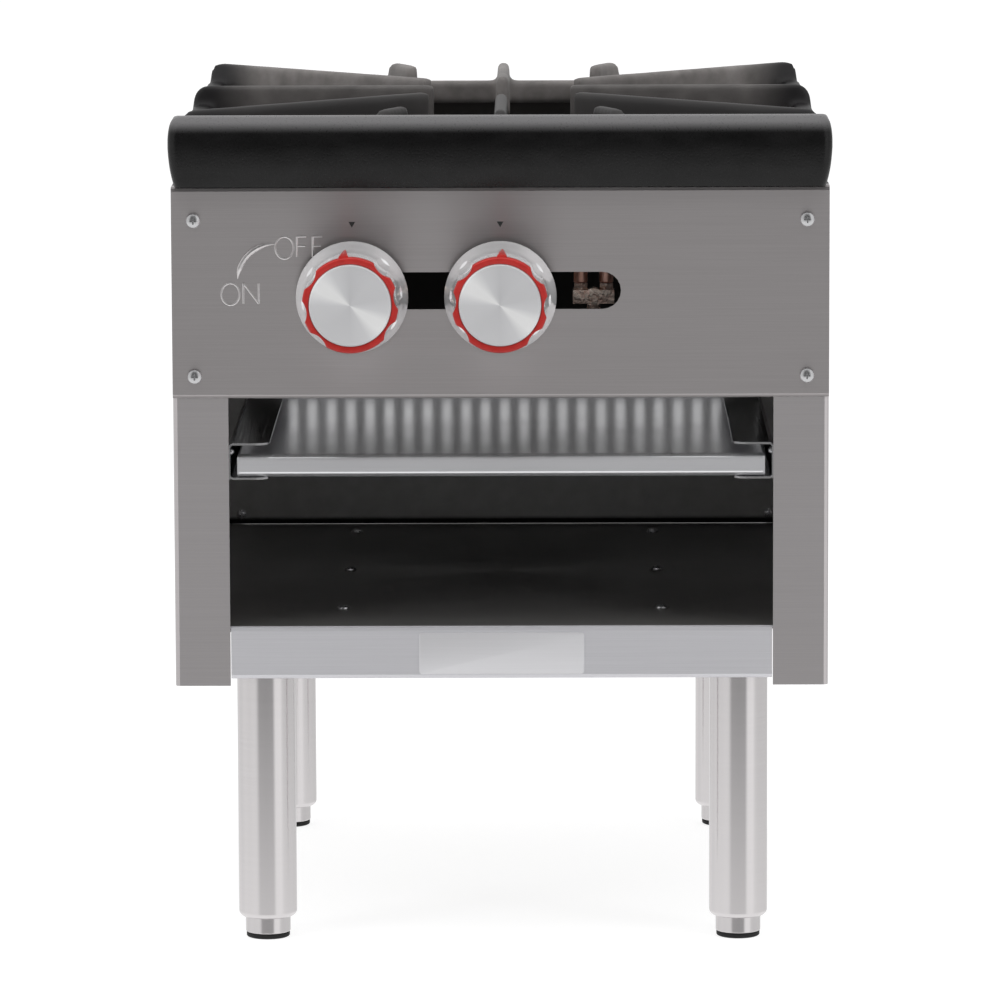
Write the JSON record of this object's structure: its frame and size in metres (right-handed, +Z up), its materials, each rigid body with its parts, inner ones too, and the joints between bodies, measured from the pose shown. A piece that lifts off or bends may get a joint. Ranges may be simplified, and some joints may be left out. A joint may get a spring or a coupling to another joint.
{
  "type": "stock pot range",
  "caption": "Free-standing gas stock pot range: cast-iron grate over ring burners, front panel with knobs, slide-out drip tray, open shelf and tubular legs.",
  "frame": {"origin": "on the floor, at the middle of the overall width and depth (knobs and gas inlet included)", "axes": "+X to the right seen from the front, +Y from the control panel to the back, +Z up"},
  "size_m": [0.4604, 0.616, 0.591],
  "materials": {
    "brushed_stainless": "horizontal brushed stainless sheet",
    "polished_stainless": "bright annealed stainless",
    "aluminised_steel": "dull grey aluminised steel",
    "cast_iron": "rough sand-cast iron, black",
    "burner_iron": "grey-black cast iron, matt",
    "black_pipe": "black steel gas pipe",
    "brass": "turned brass",
    "copper": "drawn copper tube",
    "chrome": "bright chrome plate",
    "red_plastic": "smooth bright red plastic",
    "spun_aluminium": "spun aluminium face",
    "rubber": "black rubber pad"
  },
  "bodies": {
    "range_body": {"side_panel_left": "brushed_stainless", "side_panel_right": "brushed_stainless", "front_panel": "brushed_stainless", "bottom_shelf": "polished_stainless", "tray_rail_left": "polished_stainless", "tray_rail_right": "polished_stainless", "back_panel": "aluminised_steel", "shelf_stiffener_left": "aluminised_steel", "shelf_stiffener_right": "aluminised_steel", "burner_bar_front": "aluminised_steel", "burner_bar_rear": "aluminised_steel", "front_ledge": "cast_iron", "outer_burner": "burner_iron", "inner_burner": "burner_iron", "gas_manifold": "black_pipe", "manifold_cap": "black_pipe", "pilot_valve": "brass", "pilot_head_outer": "brass", "pilot_head_inner": "brass", "gas_valve_left": "brass", "gas_valve_right": "brass", "orifice_hood_left": "brass", "orifice_hood_right": "brass", "pilot_tube_outer": "copper", "pilot_tube_inner": "copper", "panel_screw_lower_left": "chrome", "panel_screw_upper_left": "chrome", "leg_front_left": "polished_stainless", "leg_plate_front_left": "aluminised_steel", "leg_rear_left": "polished_stainless", "leg_plate_rear_left": "aluminised_steel", "panel_screw_lower_right": "chrome", "panel_screw_upper_right": "chrome", "leg_front_right": "polished_stainless", "leg_plate_front_right": "aluminised_steel", "leg_rear_right": "polished_stainless", "leg_plate_rear_right": "aluminised_steel"},
    "sliding_drip_tray": {"drip_tray": "polished_stainless"},
    "outer_air_shutter": {"air_shutter_outer": "aluminised_steel"},
    "inner_air_shutter": {"air_shutter_inner": "aluminised_steel"},
    "knob_left_assembly": {"valve_stem_left": "aluminised_steel", "knob_left": "chrome", "knob_ring_left": "red_plastic", "knob_cap_left": "spun_aluminium"},
    "knob_right_assembly": {"valve_stem_right": "aluminised_steel", "knob_right": "chrome", "knob_ring_right": "red_plastic", "knob_cap_right": "spun_aluminium"},
    "lift_off_grate": {"top_grate": "cast_iron"},
    "pilot_adjusting_screw": {"pilot_screw": "brass"},
    "levelling_foot_front_left": {"foot_front_left": "polished_stainless", "foot_pad_front_left": "rubber"},
    "levelling_foot_rear_left": {"foot_rear_left": "polished_stainless", "foot_pad_rear_left": "rubber"},
    "levelling_foot_front_right": {"foot_front_right": "polished_stainless", "foot_pad_front_right": "rubber"},
    "levelling_foot_rear_right": {"foot_rear_right": "polished_stainless", "foot_pad_rear_right": "rubber"}
  },
  "joints": [
    {"name": "knob_left_turn", "type": "hinge", "parent": "range_body", "child": "knob_left_assembly", "pos_m": [-0.103, -0.278, 0.465], "axis": [0, -1, 0], "range_deg": [-10, 80]},
    {"name": "knob_right_turn", "type": "hinge", "parent": "range_body", "child": "knob_right_assembly", "pos_m": [0, -0.278, 0.465], "axis": [0, -1, 0], "range_deg": [0, 90]},
    {"name": "drip_tray_slide", "type": "slide", "parent": "range_body", "child": "sliding_drip_tray", "axis": [0, -1, 0], "range_m": [0, 0.38]},
    {"name": "grate_lift", "type": "slide", "parent": "range_body", "child": "lift_off_grate", "axis": [0, 0, 1], "range_m": [0, 0.15]},
    {"name": "foot_front_left_adjust", "type": "slide", "parent": "range_body", "child": "levelling_foot_front_left", "axis": [0, 0, -1], "range_m": [0, 0.025]},
    {"name": "foot_rear_left_adjust", "type": "slide", "parent": "range_body", "child": "levelling_foot_rear_left", "axis": [0, 0, -1], "range_m": [0, 0.025]},
    {"name": "foot_front_right_adjust", "type": "slide", "parent": "range_body", "child": "levelling_foot_front_right", "axis": [0, 0, -1], "range_m": [0, 0.025]},
    {"name": "foot_rear_right_adjust", "type": "slide", "parent": "range_body", "child": "levelling_foot_rear_right", "axis": [0, 0, -1], "range_m": [0, 0.025]},
    {"name": "outer_air_shutter_turn", "type": "hinge", "parent": "range_body", "child": "outer_air_shutter", "pos_m": [-0.103, -0.179, 0.465], "axis": [0, 1, 0], "range_deg": [-45, 45]},
    {"name": "inner_air_shutter_turn", "type": "hinge", "parent": "range_body", "child": "inner_air_shutter", "pos_m": [0, -0.179, 0.465], "axis": [0, 1, 0], "range_deg": [-45, 45]},
    {"name": "pilot_screw_turn", "type": "hinge", "parent": "range_body", "child": "pilot_adjusting_screw", "pos_m": [0.065, -0.216, 0.461], "axis": [0, -1, 0], "range_deg": [-180, 180]}
  ]
}
